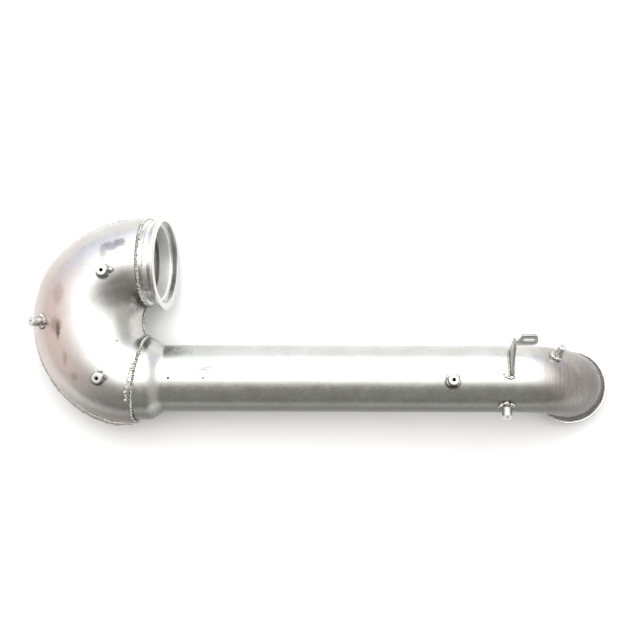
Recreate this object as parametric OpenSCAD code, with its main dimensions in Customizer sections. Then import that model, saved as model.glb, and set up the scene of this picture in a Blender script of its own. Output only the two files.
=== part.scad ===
// Exhaust tailpipe of a lorry, lying on its side as it would come to rest.
// A four inch steel tube with a belled end and a bent end, a fat return bend
// pressed as two half shells, two turned end rings, six screw bosses for a
// heat shield, a folded hanger bracket, and the welds that join them.
// Each piece is built about the axis of the straight tube: X runs along the
// tube to the outlet, Y to the inlet leg, Z up. The whole is then laid down.

/* [Main tube] */
// Outside diameter of the tube
pipe_od = 101.6; // [90:0.1:110]
// Wall of the tube
pipe_wall = 1.8; // [1.2:0.1:3]
// Length from the edge of the return bend to the start of the elbow
pipe_run = 577; // [420:1:700]
// Outside diameter of the belled end
bell_od = 127; // [118:0.1:129]
// Straight length of the bell in front of the return bend
bell_run = 22; // [20:1:50]
// Length of the taper from the bell down to the tube
bell_taper = 28; // [14:1:50]
// Length of the bell inside the return bend
bell_lap = 10; // [4:1:16]

/* [Elbow and outlet] */
// Centreline radius of the elbow
elbow_r = 96; // [80:1:130]
// Angle that the elbow turns
elbow_angle = 74; // [50:1:88]
// Roll of the elbow about the tube
elbow_roll = 12; // [0:0.5:30]
// Outside diameter of the flared end
flare_od = 108; // [104:0.5:118]
// Length of the flare's taper
flare_taper = 8; // [5:1:20]
// Straight length of the flared end
flare_run = 8; // [7:1:20]
// Wall of the outlet ring around the flare
outlet_wall = 3.5; // [2:0.1:10]
// Thickness of the outlet ring
outlet_t = 9; // [7:0.5:16]
// Reach of the outlet ring's lip inwards from the outside of the flare
outlet_inward = 3; // [2:0.5:6]

/* [Return bend] */
// Gap between the bell and the end of the bend that goes over it
bend_slack = 2; // [2:0.1:3]
// Wall of the half shells
bend_wall = 2; // [1.2:0.1:3]
// Distance between the axes of the two legs
leg_pitch = 178.5; // [160:0.5:210]
// Reach of the bend behind the edge that meets the bell
bend_reach = 154; // [130:1:180]
// Length of the inlet leg past the edge that meets the bell
inlet_leg = 22; // [14:1:36]
// Place of the crotch between the legs
crotch_x = 12.5; // [4:0.5:16]
// Set of the edge that meets the bell, longer at the crotch
edge_skew = 19; // [8:1:24]
// Set back of that edge at the crown of the bend
edge_back = 4; // [0:0.5:12]
// Offset of the bend's end from the axis of the bell
bell_offset = 1.6; // [0:0.1:1.6]
// Extra half height of the bend at its middle
bend_swell = 4; // [0:0.5:10]
// Rise of the inlet leg over the tube
inlet_rise = 10; // [2:1:20]
// Upward tilt of the inlet
inlet_tilt = 7.5; // [2:0.5:12]

/* [Inlet ring] */
// Bore of the recess that takes the mating pipe
recess_d = 122.6; // [112:0.2:124]
// Depth of the recess
recess_depth = 10; // [6:0.5:14]
// Width of the rim's face around the recess
rim_land = 11.5; // [8:0.5:16]
// Thickness of the rim at its edge
rim_t = 3.5; // [2:0.5:6]
// How far the collar behind the rim stands out past the recess
collar_step = 0.7; // [0.2:0.1:4]
// Width of the ledge at the floor of the recess
ring_ledge = 5.3; // [3:0.1:8]
// Length of the ring in front of the return bend
ring_run = 29; // [26:1:44]
// Length of the ring's spigot inside the return bend
ring_lap = 4; // [3:1:6]

/* [Screw bosses] */
// Outside diameter of a boss
boss_od = 15; // [12:0.5:18]
// Height of a boss
boss_h = 19; // [14:0.5:26]
// Thread's core diameter in a boss
boss_hole = 5; // [3:0.1:7]
// Depth of the threaded hole
hole_depth = 15; // [8:0.5:24]
// Seat of the boss near the inlet: turn of the bend, and turn of its section
inlet_boss = [149, 90];
// Seat of the boss on the back of the bend
back_boss = [90, 137];
// Seat of the boss near the bell
bell_boss = [32, 96];
// Place along the tube of the boss on its crown
mid_boss_x = 484; // [300:1:500]
// Angle of that boss from the crown
mid_boss_angle = -2; // [-20:1:20]
// Place along the tube of the boss low on its side
side_boss_x = 564; // [520:1:566]
// Angle of the side boss from the crown
side_boss_angle = 52; // [30:1:60]
// Angle of the elbow's boss from the crown
elbow_boss_angle = 50; // [30:1:60]
// Turn along the elbow at which its boss stands
elbow_boss_turn = 28; // [16:1:34]

/* [Bracket] */
// Thickness of the bracket's sheet
bracket_t = 4; // [2:0.5:5]
// Place along the tube of the bracket's back face
bracket_x = 568; // [540:1:570]
// Slope of the bracket's upper edge
bracket_slope = 46; // [30:1:50]
// Length of the upper edge
bracket_len = 89; // [80:1:110]
// Width of the folded tab
tab_w = 21; // [17:0.5:26]
// Length of the folded tab
tab_len = 34; // [28:1:50]
// Width of the tab's slot
slot_w = 5; // [4:0.5:9]
// Length of the tab's slot
slot_len = 17; // [12:0.5:20]
// Angle from the crown at which the bracket's foot starts
foot_start = 7; // [0:1:10]
// Angle from the crown at which the bracket's foot ends
foot_end = 60; // [45:1:80]

/* [Lie] */
// Roll of the part as it lies, where its weight balances
lie_roll = -0.7; // [-4:0.1:4]

/* [Welds] */
// Width of the ring welds
bead_w = 5; // [3:0.5:7]
// Width of the seam weld along the outside of the bend
seam_w = 6; // [4:0.5:8]
// Height of the seam weld by the bell
seam_h = 8; // [5:0.5:9]
// Height of the seam weld at the back of the bend
seam_low = 3; // [2:0.5:5]

/* [Hidden] */
// Gap all round between a pipe end and what it slides into
slip = 0.5;
// Gap between a weld and what it lies on, so that no two solids overlap
touch = 0.1;
// Thinning of the wall on each face where the tube is bent
bend_thin = 0.3;
// Lip of the outlet ring, and how far its face stands past the end of the flare
outlet_lip = 2;
outlet_stop = outlet_lip + slip;
// Chamfer on the edges of the turned rings
edge_break = 1;
// Facets of the round forms
$fn = 96;
// Stations along the return bend, and facets over half of its section
STATIONS = 32;
SIDES = 20;

pipe_r = pipe_od / 2;
bell_r = bell_od / 2;
flare_r = flare_od / 2;
bend_r = bell_r + bend_slack + bend_wall;
recess_r = recess_d / 2;
rim_r = recess_r + rim_land;
outlet_r = flare_r + slip / 2 + outlet_wall;
steel = "#c9cac8";
bright = "#dedfe0";
weld_grey = "#b4b3ae";

// Rails of the return bend: the section at turn f spans from the inner rail to
// the outer one. f is 0 at the edge that meets the bell and 180 at the inlet.
mid_y = leg_pitch / 2 - bell_offset;
lead_from = 110;
function ease(t) = let (c = min(max(t, 0), 1)) c * c * (3 - 2 * c);
function lead(f) = inlet_leg * ease((f - lead_from) / (180 - lead_from));
function outer_rail(f) = [
    lead(f) - bend_reach * sin(f), mid_y - (leg_pitch / 2 + bend_r) * cos(f)
];
function inner_x(f) = edge_skew + (inlet_leg - edge_skew) * f / 180;
function inner_rail(f) = [
    inner_x(f) - (inner_x(90) - crotch_x) * sin(f), mid_y - (leg_pitch / 2 - bend_r) * cos(f)
];
function rise(f) = let (t = max(f - 90, 0) / 90) inlet_rise * t * t;
function lean(f) = inlet_tilt * ease((f - 60) / 120);
function half_height(f) = bend_r + bend_swell * sin(f);
function set_back(f) = edge_back / bend_r * (1 - ease(f / 70));
function seam_height(f, h) = seam_low + (h - seam_low) * (1 - ease(f / 110));

// Point on the bend: q is 0 on the inner rail, 90 on the crown and 180 on the
// outer rail, and inset measures inwards from the outside of the shell.
function bend_point(f, q, inset = 0) =
    let (
        o = outer_rail(f), i = inner_rail(f), m = (o + i) / 2,
        half = norm(i - o) / 2, e = (i - o) / (2 * half),
        across = (half - inset) * cos(q), up = (half_height(f) - inset) * sin(q)
    )
    [
        m[0] + e[0] * across - up * (sin(lean(f)) + set_back(f)),
        m[1] + e[1] * across,
        rise(f) + up * cos(lean(f))
    ];
function unit(v) = v / norm(v);
// Outward direction of the shell at a point
function bend_normal(f, q) = unit(cross(
    bend_point(f + 1, q) - bend_point(f - 1, q), bend_point(f, q + 1) - bend_point(f, q - 1)
));

// How the part lies: a direction of the floor's own frame, seen from the tube,
// and the pitch at which the outlet ring and the belly of the bend reach it alike.
function seen(v, pitch) =
    let (x = v[0] * cos(pitch) + v[2] * sin(pitch), z = v[2] * cos(pitch) - v[0] * sin(pitch))
    [x, v[1] * cos(lie_roll) - z * sin(lie_roll), v[1] * sin(lie_roll) + z * cos(lie_roll)];
function elbow_point(turn, ahead) =
    let (
        out = elbow_r * sin(turn) + ahead * cos(turn),
        drop = elbow_r * (1 - cos(turn)) + ahead * sin(turn)
    )
    [pipe_run + out, -drop * sin(elbow_roll), -drop * cos(elbow_roll)];
function round_reach(centre, axis, r, d) = centre * d + r * norm(cross(axis, d));
outlet_face = elbow_point(elbow_angle, flare_taper + flare_run + outlet_stop);
outlet_axis = unit(outlet_face - elbow_point(elbow_angle, 0));
function ring_reach(d) = max(
    round_reach(outlet_face, outlet_axis, outlet_r - edge_break, d),
    round_reach(outlet_face - edge_break * outlet_axis, outlet_axis, outlet_r, d));
function belly_reach(d) = max([for (f = [0:6:180], q = [210:10:330]) bend_point(f, q) * d]);
function settle(low, high, steps = 24) =
    let (p = (low + high) / 2)
    steps == 0 ? p
        : ring_reach(seen([0, 0, -1], p)) > belly_reach(seen([0, 0, -1], p))
            ? settle(p, high, steps - 1)
        : settle(low, p, steps - 1);
lie_pitch = settle(-20, 20);
// Reach of the part to each side of its footprint, and down to the floor
rim_face = concat((outer_rail(180) + inner_rail(180)) / 2, inlet_rise)
    + (ring_run - rim_t / 2) * [cos(inlet_tilt), 0, sin(inlet_tilt)];
function rim_reach(d) = round_reach(rim_face, [cos(inlet_tilt), 0, sin(inlet_tilt)], rim_r, d);
function back_reach(d) =
    max([for (f = [60:6:120]) bend_point(f, 180) * d + touch + seam_height(f, seam_h)]);
front_x = ring_reach(seen([1, 0, 0], lie_pitch));
back_x = back_reach(seen([-1, 0, 0], lie_pitch));
inlet_y = rim_reach(seen([0, 1, 0], lie_pitch));
outlet_y = ring_reach(seen([0, -1, 0], lie_pitch));
floor_z = ring_reach(seen([0, 0, -1], lie_pitch));

// Solid between two grids of points that share their rows and columns
module skin(outside, inside) {
    rows = len(outside);
    cols = len(outside[0]);
    count = rows * cols;
    function at(r, c) = r * cols + c;
    over = [for (r = [0:rows - 2], c = [0:cols - 2])
        each [[at(r, c), at(r, c + 1), at(r + 1, c + 1)], [at(r, c), at(r + 1, c + 1), at(r + 1, c)]]];
    under = [for (t = over) [t[2] + count, t[1] + count, t[0] + count]];
    sides = [for (r = [0:rows - 2], c = [0, cols - 1])
        let (a = at(r, c), b = at(r + 1, c), s = c == 0)
        each s ? [[a, b, b + count], [a, b + count, a + count]]
            : [[b, a, b + count], [b + count, a, a + count]]];
    ends = [for (c = [0:cols - 2], r = [0, rows - 1])
        let (a = at(r, c), b = at(r, c + 1), s = r == 0)
        each s ? [[b, a, a + count], [b, a + count, b + count]]
            : [[a, b, b + count], [a, b + count, a + count]]];
    polyhedron([each [for (row = outside) each row], each [for (row = inside) each row]],
        concat(over, under, sides, ends));
}

// Half shell of the bend, over the turns of the section from q0 to q1
module half_shell(q0, q1) {
    turns = [for (k = [0:STATIONS]) 180 * k / STATIONS];
    steps = [for (k = [0:SIDES]) q0 + (q1 - q0) * k / SIDES];
    skin([for (f = turns) [for (q = steps) bend_point(f, q)]],
        [for (f = turns) [for (q = steps) bend_point(f, q, bend_wall)]]);
}

// Bead with a round back, swept through rows of [place, outward, sideways, width, height]
BEAD_SIDES = 6;
module bead(rows, closed = false) {
    ring = [for (k = [0:BEAD_SIDES]) 180 * k / BEAD_SIDES];
    n = BEAD_SIDES + 1;
    last = len(rows) - 1;
    points = [for (r = rows, a = ring)
        r[0] + r[2] * cos(a) * r[3] / 2 + r[1] * (touch + sin(a) * r[4])];
    around = [for (r = [0:closed ? last : last - 1], k = [0:n - 1])
        let (s = (r + 1) % len(rows), a = r * n + k, b = r * n + (k + 1) % n,
            c = s * n + (k + 1) % n, d = s * n + k)
        each [[a, c, b], [a, d, c]]];
    caps = closed ? [] : [[for (k = [0:n - 1]) k], [for (k = [n - 1:-1:0]) last * n + k]];
    polyhedron(points, concat(around, caps));
}

// Placing of what is built about another axis
module at_inlet() {
    translate(concat((outer_rail(180) + inner_rail(180)) / 2, inlet_rise))
        rotate([0, 90 - inlet_tilt, 0]) children();
}
module at_elbow(turn) {
    translate([pipe_run, 0, 0]) rotate([-elbow_roll, 0, 0])
        translate([elbow_r * sin(turn), 0, -elbow_r * (1 - cos(turn))])
            rotate([0, 90 + turn, 0]) children();
}
module at_outlet() {
    at_elbow(elbow_angle) translate([0, 0, flare_taper]) children();
}
// Turns local Z to the direction n, with no spin about it
module towards(n) {
    round_z = atan2(n[1], n[0]);
    rotate([0, 0, round_z]) rotate([0, acos(n[2] / norm(n)), 0]) rotate([0, 0, -round_z])
        children();
}
module on_bend(f, q) {
    translate(bend_point(f, q)) towards(bend_normal(f, q)) children();
}
// Seat on the tube, at an angle from the crown towards the outside of the bend
module on_tube(x, angle) {
    translate([x, 0, 0]) rotate([angle, 0, 0]) translate([0, 0, pipe_r]) children();
}
module on_elbow() {
    at_elbow(elbow_boss_turn) rotate([0, 0, elbow_roll - elbow_boss_angle])
        translate([-pipe_r, 0, 0]) rotate([0, -90, 0]) children();
}

// Lays the part down with the middle of its footprint at the origin
module laid_down() {
    translate([(back_x - front_x) / 2, (outlet_y - inlet_y) / 2, floor_z])
        rotate([0, -lie_pitch, 0]) rotate([-lie_roll, 0, 0]) children();
}

// One piece of tube: expanded into a bell, bent to an elbow, and flared at its end
module main_pipe() {
    bore_r = pipe_r - pipe_wall;
    taper_end = bell_run + bell_taper;
    flare_end = flare_taper + flare_run;
    color(steel) {
        rotate([-elbow_roll, 0, 0]) rotate([0, 90, 0]) rotate_extrude() polygon([
            [bell_r - pipe_wall, -bell_lap], [bell_r, -bell_lap], [bell_r, bell_run],
            [pipe_r, taper_end], [pipe_r, pipe_run], [bore_r, pipe_run],
            [bore_r, taper_end], [bell_r - pipe_wall, bell_run]
        ]);
        translate([pipe_run, 0, 0]) rotate([-elbow_roll, 0, 0]) translate([0, 0, -elbow_r])
            rotate([90, 0, 0]) rotate([0, 0, 90 - elbow_angle])
                rotate_extrude(angle = elbow_angle) translate([elbow_r, 0]) difference() {
                    circle(pipe_r - bend_thin);
                    circle(bore_r + bend_thin);
                }
        at_elbow(elbow_angle) rotate_extrude() polygon([
            [bore_r, 0], [pipe_r, 0], [flare_r, flare_taper], [flare_r, flare_end],
            [flare_r - pipe_wall, flare_end], [flare_r - pipe_wall, flare_taper]
        ]);
    }
}

module bend_upper_shell() {
    color(steel) half_shell(0, 180);
}

module bend_lower_shell() {
    color(steel) half_shell(180, 360);
}

// Turned ring: spigot, collar with a shallow neck, and a rim with a sloped back
module inlet_ring() {
    spigot_r = bend_r - bend_wall - slip;
    bore_r = recess_r - ring_ledge;
    collar_r = recess_r + collar_step;
    neck = 1.2;
    neck_at = bead_w + 3.4;
    slope_at = ring_run - rim_t - 9;
    floor_at = ring_run - recess_depth;
    color(bright) at_inlet() rotate_extrude() polygon([
        [bore_r, -ring_lap], [spigot_r, -ring_lap], [spigot_r, neck_at - 3],
        [collar_r - neck, neck_at], [collar_r, neck_at + 3], [collar_r, slope_at],
        [rim_r - 4, ring_run - rim_t - 1], [rim_r, ring_run - rim_t],
        [rim_r, ring_run - edge_break], [rim_r - edge_break, ring_run],
        [recess_r + edge_break, ring_run], [recess_r, ring_run - edge_break],
        [recess_r, floor_at], [bore_r + edge_break, floor_at], [bore_r, floor_at - edge_break]
    ]);
}

// Turned ring over the flared end, with a lip that stops the tube
module outlet_ring() {
    seat_r = flare_r + slip / 2;
    lip_r = flare_r - outlet_inward;
    color(bright) at_outlet() translate([0, 0, flare_run + outlet_stop - outlet_t])
        rotate_extrude() polygon([
            [seat_r, 0], [outlet_r - edge_break, 0], [outlet_r, edge_break],
            [outlet_r, outlet_t - edge_break], [outlet_r - edge_break, outlet_t],
            [lip_r, outlet_t], [lip_r, outlet_t - outlet_lip], [seat_r, outlet_t - outlet_lip]
        ]);
}

// Weld round the ring's collar at the edge of the bend
module inlet_weld() {
    foot = bend_r - bend_wall - slip + touch;
    color(weld_grey) at_inlet() translate([0, 0, touch]) rotate_extrude() polygon([
        [foot, 0], [bend_r + 0.8, 0], [bend_r + 0.6, 0.35 * bead_w],
        [bend_r - 0.6, 0.75 * bead_w], [foot + 0.4, bead_w], [foot, bead_w]
    ]);
}

// Weld on the bell along the slanted edge of the bend
module bell_weld() {
    rows = [for (k = [0:2 * SIDES - 1])
        let (
            q = 180 * k / SIDES, edge = bend_point(0, q), out = unit([0, edge[1], edge[2]]),
            foot = bell_r / cos(90 / SIDES), step = norm([edge[1], edge[2]]) - foot
        )
        [[edge[0] + touch + bead_w / 2, 0, 0] + out * foot, out, [1, 0, 0], bead_w, step + 0.5]];
    color(weld_grey) bead(rows, true);
}

// Small weld between the flared end and the back of the outlet ring
module outlet_weld() {
    leg = 2;
    back = flare_run + outlet_stop - outlet_t;
    color(weld_grey) at_outlet() rotate_extrude() polygon([
        [flare_r + touch, back - touch], [flare_r + touch, back - touch - leg],
        [flare_r + leg, back - touch]
    ]);
}

// Rows of a bead along a rail of the bend, lower and thinner at its two ends
function seam_rows(q, f0, f1, h) = [
    for (k = [0:STATIONS]) let (f = 180 * k / STATIONS) if (f >= f0 && f <= f1)
        let (t = min(f - f0, f1 - f) / 12, s = 0.4 + 0.6 * ease(t))
        [bend_point(f, q), bend_normal(f, q), unit(cross(
            bend_normal(f, q), bend_point(f + 1, q) - bend_point(f - 1, q))),
            seam_w * s, seam_height(f, h) * s]
];

module outer_seam_weld() {
    color(weld_grey) bead(seam_rows(180, 2, 175, seam_h));
}

module inner_seam_weld() {
    color(weld_grey) bead(seam_rows(0, 20, 160, seam_low));
}

// Screw boss: turned spacer with a threaded blind hole
module boss() {
    chamfer = 0.8;
    color(bright) difference() {
        rotate_extrude() polygon([
            [0, touch], [boss_od / 2, touch], [boss_od / 2, boss_h - chamfer],
            [boss_od / 2 - chamfer, boss_h], [0, boss_h]
        ]);
        translate([0, 0, boss_h - hole_depth]) cylinder(h = hole_depth + 1, d = boss_hole);
    }
}

// Weld lumps at the foot of a boss, as rows of [angle, radius, reach, height]
module boss_weld(lumps) {
    collar = 1.6;
    color(weld_grey) difference() {
        union() {
            cylinder(h = collar, d1 = boss_od + 3 * collar, d2 = boss_od + collar);
            for (p = lumps) rotate([0, 0, p[0]]) translate([p[2], 0, p[3]]) sphere(p[1], $fn = 32);
        }
        translate([0, 0, -boss_h]) cylinder(h = 3 * boss_h, d = boss_od + 2 * touch);
        translate([0, 0, -boss_od]) cube([3 * boss_od, 3 * boss_od, 2 * (boss_od + touch)], true);
    }
}

module boss_by_inlet() { on_bend(inlet_boss[0], inlet_boss[1]) boss(); }
module boss_on_back() { on_bend(back_boss[0], back_boss[1]) boss(); }
module boss_by_bell() { on_bend(bell_boss[0], bell_boss[1]) boss(); }
module boss_on_crown() { on_tube(mid_boss_x, mid_boss_angle) boss(); }
module boss_on_side() { on_tube(side_boss_x, side_boss_angle) boss(); }
module boss_on_elbow() { on_elbow() boss(); }

module weld_by_inlet() {
    on_bend(inlet_boss[0], inlet_boss[1])
        boss_weld([[0, 5, 10, 1], [50, 3.5, 9, 1], [185, 3, 8, 1]]);
}
module weld_on_back() {
    on_bend(back_boss[0], back_boss[1]) boss_weld([[70, 5, 9, 1], [-70, 5, 9, 1]]);
}
module weld_by_bell() {
    on_bend(bell_boss[0], bell_boss[1]) boss_weld([[5, 4, 9, 1], [70, 3, 8, 1]]);
}
module weld_on_crown() {
    on_tube(mid_boss_x, mid_boss_angle)
        boss_weld([[175, 4, 9, 1], [235, 4, 9, 1], [30, 3.5, 9, 1], [-35, 3.5, 9, 1]]);
}
module weld_on_side() {
    on_tube(side_boss_x, side_boss_angle) boss_weld([[140, 4, 9, 1], [80, 4, 9, 1], [20, 4, 9, 1]]);
}
module weld_on_elbow() {
    on_elbow() boss_weld([[215, 5, 10, 1], [270, 4, 9, 1]]);
}

// Moves to the bracket's back face, with Y along its upper edge and Z square to it
module at_bracket() {
    translate([bracket_x, 0, 0]) rotate([bracket_slope, 0, 0]) children();
}

// Folded sheet: a gusset that stands across the tube, and a slotted tab
module bracket() {
    top = pipe_r * cos(foot_start + bracket_slope);
    start = pipe_r * sin(foot_start + bracket_slope);
    end = start + bracket_len;
    fold = 2;
    turn = bracket_t + fold;
    side = 14;
    relief = 2;
    corner = 8;
    cut = 11;
    cut_run = 5;
    slot_at = 21;
    module gusset() {
        rotate([90, 0, 90]) linear_extrude(bracket_t) polygon([
            [start, top], [end - tab_w - relief, top], [end - tab_w - relief, top - turn - relief],
            [end - tab_w, top - turn - relief], [end - tab_w, top - turn], [end - cut, top - turn],
            [end - cut - side * sin(bracket_slope), top - turn - side * cos(bracket_slope)],
            [pipe_r * sin(foot_end + bracket_slope), pipe_r * cos(foot_end + bracket_slope)], [0, 0]
        ]);
    }
    module fold_piece() {
        translate([0, end - cut, top]) rotate([90, 0, 0]) linear_extrude(tab_w - cut)
            translate([turn, -turn]) intersection() {
                difference() {
                    circle(turn);
                    circle(fold);
                }
                translate([-turn, 0]) square(turn);
            }
    }
    module tab() {
        reach = tab_len - turn;
        translate([turn, end - tab_w, top - bracket_t]) linear_extrude(bracket_t) difference() {
            union() {
                polygon([
                    [0, 0], [reach - corner, 0], [reach - corner, corner], [reach, corner],
                    [reach, tab_w - corner], [reach - corner, tab_w - corner],
                    [reach - corner, tab_w], [cut_run, tab_w], [0, tab_w - cut]
                ]);
                for (y = [corner, tab_w - corner]) translate([reach - corner, y]) circle(corner);
            }
            translate([slot_at - turn, tab_w / 2]) {
                square([slot_len - slot_w, slot_w], true);
                for (x = [-0.5, 0.5]) translate([x * (slot_len - slot_w), 0]) circle(d = slot_w);
            }
        }
    }
    color(steel) difference() {
        at_bracket() {
            gusset();
            fold_piece();
            tab();
        }
        rotate([0, 90, 0]) cylinder(h = pipe_run, r = pipe_r + touch);
    }
}

// Weld on both sides of the bracket's foot, with a lump at its start
module bracket_weld() {
    leg = 4;
    span = foot_end - foot_start;
    module fillet(side) {
        rotate([0, 90, 0]) rotate([0, 0, 180 - foot_end]) rotate_extrude(angle = span) polygon([
            [pipe_r + touch, side * touch], [pipe_r + leg, side * touch],
            [pipe_r + leg / 2, side * leg * 0.6], [pipe_r + touch, side * leg]
        ]);
    }
    color(weld_grey) {
        translate([bracket_x, 0, 0]) fillet(-1);
        translate([bracket_x + bracket_t, 0, 0]) fillet(1);
    }
}

laid_down() main_pipe();
laid_down() bend_upper_shell();
laid_down() bend_lower_shell();
laid_down() inlet_ring();
laid_down() outlet_ring();
laid_down() inlet_weld();
laid_down() bell_weld();
laid_down() outlet_weld();
laid_down() outer_seam_weld();
laid_down() inner_seam_weld();
laid_down() boss_by_inlet();
laid_down() boss_on_back();
laid_down() boss_by_bell();
laid_down() boss_on_crown();
laid_down() boss_on_side();
laid_down() boss_on_elbow();
laid_down() weld_by_inlet();
laid_down() weld_on_back();
laid_down() weld_by_bell();
laid_down() weld_on_crown();
laid_down() weld_on_side();
laid_down() weld_on_elbow();
laid_down() bracket();
laid_down() bracket_weld();
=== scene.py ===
import math
from types import SimpleNamespace

import bpy
import numpy as np
from mathutils import Matrix, Vector


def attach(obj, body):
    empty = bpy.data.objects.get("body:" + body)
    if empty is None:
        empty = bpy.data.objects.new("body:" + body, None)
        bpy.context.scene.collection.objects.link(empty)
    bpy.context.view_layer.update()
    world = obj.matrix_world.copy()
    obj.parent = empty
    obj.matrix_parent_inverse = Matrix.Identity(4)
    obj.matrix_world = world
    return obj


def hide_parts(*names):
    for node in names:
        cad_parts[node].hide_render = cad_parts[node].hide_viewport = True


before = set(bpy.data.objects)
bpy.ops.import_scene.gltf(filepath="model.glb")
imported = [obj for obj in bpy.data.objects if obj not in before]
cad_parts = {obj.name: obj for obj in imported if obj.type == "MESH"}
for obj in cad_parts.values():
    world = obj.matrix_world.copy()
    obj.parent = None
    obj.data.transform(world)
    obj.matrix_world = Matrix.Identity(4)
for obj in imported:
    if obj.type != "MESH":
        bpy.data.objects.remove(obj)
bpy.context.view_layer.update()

# The return bend: two half shells deep-drawn from steel sheet, welded edge to edge along the
# middle, and pushed over the bell of the main tube. Each cross section spans from the inner
# rail, at the crotch between the legs, to the outer rail, round the back. Sizes are in mm.
BEND_WALL = 2.0
BELL_R = 63.5
BELL_SLACK = 2.0
BEND_R = BELL_R + BELL_SLACK + BEND_WALL
LEG_PITCH = 178.5
BELL_OFFSET = 1.6
BEND_REACH = 154.0
BEND_SWELL = 4.0
INLET_LEG = 22.0
INLET_RISE = 10.0
INLET_TILT = 7.5
CROTCH_X = 12.5
EDGE_SKEW = 19.0
EDGE_BACK = 4.0
# Turns of the bend, in degrees from the bell, where its shape starts to change or has changed
EDGE_BACK_TO, LEAN_FROM, RISE_FROM, LEG_FROM, BEND_END = 70, 60, 90, 110, 180

# The part's own axes have X along the straight tube to the outlet, Y to the inlet leg and Z
# up. It lies on its side, so these turn and shift it to the frame, in metres.
LIE_PITCH, LIE_ROLL = 2.79171, 0.7
BACK_X, FRONT_X = 157.405, 732.119
INLET_Y, OUTLET_Y = 249.521, 73.6384
FLOOR_Z = 73.814
MM = 0.001
LAY = (
    Matrix.Translation(((BACK_X - FRONT_X) / 2 * MM, (OUTLET_Y - INLET_Y) / 2 * MM, FLOOR_Z * MM))
    @ Matrix.Rotation(math.radians(-LIE_PITCH), 4, "Y")
    @ Matrix.Rotation(math.radians(LIE_ROLL), 4, "X")
    @ Matrix.Scale(MM, 4)
)


def laid(points):
    """Points in the part's own millimetres, moved to the frame."""
    m = np.array(LAY)
    return np.asarray(points, float) @ m[:3, :3].T + m[:3, 3]


def ease(t):
    """A share that starts and ends softly, between 0 and 1."""
    c = min(max(t, 0.0), 1.0)
    return c * c * (3 - 2 * c)


def bend_point(f, q, inset=0.0):
    """A point of the bend at turn f, 0 by the bell and 180 at the inlet, and turn q of its section."""
    fr, qr = math.radians(f), math.radians(q)
    mid_y = LEG_PITCH / 2 - BELL_OFFSET
    leg = INLET_LEG * ease((f - LEG_FROM) / (BEND_END - LEG_FROM))
    outer = np.array([leg - BEND_REACH * math.sin(fr), mid_y - (LEG_PITCH / 2 + BEND_R) * math.cos(fr)])
    edge = EDGE_SKEW + (INLET_LEG - EDGE_SKEW) * f / BEND_END
    crotch = (EDGE_SKEW + INLET_LEG) / 2 - CROTCH_X
    inner = np.array([edge - crotch * math.sin(fr), mid_y - (LEG_PITCH / 2 - BEND_R) * math.cos(fr)])
    half = np.linalg.norm(inner - outer) / 2
    along = (inner - outer) / (2 * half)
    lean = math.radians(INLET_TILT * ease((f - LEAN_FROM) / (BEND_END - LEAN_FROM)))
    rise = INLET_RISE * (max(f - RISE_FROM, 0) / (BEND_END - RISE_FROM)) ** 2
    back = EDGE_BACK / BEND_R * (1 - ease(f / EDGE_BACK_TO))
    across = (half - inset) * math.cos(qr)
    up = (BEND_R + BEND_SWELL * math.sin(fr) - inset) * math.sin(qr)
    middle = (outer + inner) / 2
    return np.array([
        middle[0] + along[0] * across - up * (math.sin(lean) + back),
        middle[1] + along[1] * across,
        rise + up * math.cos(lean)])


def bend_normal(f, q):
    """The way out of the bend at a place of it."""
    ahead = bend_point(f + 1, q) - bend_point(f - 1, q)
    beside = bend_point(f, q + 1) - bend_point(f, q - 1)
    out = np.cross(ahead, beside)
    return out / np.linalg.norm(out)


def feed(tree, node, inputs):
    """Sets each input of a node, or links it to a socket or to another node's first live output."""
    for key, value in inputs.items():
        if isinstance(value, bpy.types.Node):
            value = next(socket for socket in value.outputs if socket.enabled)
        if isinstance(value, bpy.types.NodeSocket):
            tree.links.new(value, node.inputs[key])
        else:
            node.inputs[key].default_value = value


def add(tree, kind, inputs=None, **settings):
    """Adds a node with its settings and its inputs."""
    made = tree.nodes.new(kind)
    for field, value in settings.items():
        setattr(made, field, value)
    feed(tree, made, inputs or {})
    return made


def linear(code):
    """An sRGB hex colour as the linear values that a node takes."""
    parts = [int(code[i:i + 2], 16) / 255 for i in (0, 2, 4)]
    return (*[c / 12.92 if c <= 0.04045 else ((c + 0.055) / 1.055) ** 2.4 for c in parts], 1)


def in_mm(tree, stretch=(1, 1, 1)):
    """Object coordinates in millimetres, drawn out along each axis."""
    place = add(tree, "ShaderNodeTexCoord").outputs["Object"]
    scale = tuple(1 / (MM * s) for s in stretch)
    return add(tree, "ShaderNodeVectorMath", {0: place, 1: scale}, operation="MULTIPLY")


def patch(tree, centre, reach, ragged=0.6, soft=1.0):
    """Mask of a spot round a place of the part, both in its own millimetres, with a ragged edge."""
    place = in_mm(tree)
    at = tuple(laid([centre])[0] / MM)
    away = add(tree, "ShaderNodeVectorMath", {0: place, 1: at}, operation="SUBTRACT")
    shares = tuple(1 / r for r in reach)
    scaled = add(tree, "ShaderNodeVectorMath", {0: away, 1: shares}, operation="MULTIPLY")
    far = add(tree, "ShaderNodeVectorMath", {0: scaled}, operation="LENGTH")
    notch = min(reach) * 0.6
    notches = add(tree, "ShaderNodeTexNoise", {
        "Vector": place, "Scale": 1 / notch, "Detail": 4.0, "Roughness": 0.7})
    notches = add(tree, "ShaderNodeMath", {0: notches, 1: ragged}, operation="MULTIPLY")
    far = add(tree, "ShaderNodeMath", {0: far, 1: notches}, operation="ADD")
    rim = 1 + ragged / 2
    return add(tree, "ShaderNodeMapRange", {0: far, 1: rim, 2: rim - soft}, interpolation_type="SMOOTHSTEP")


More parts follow.
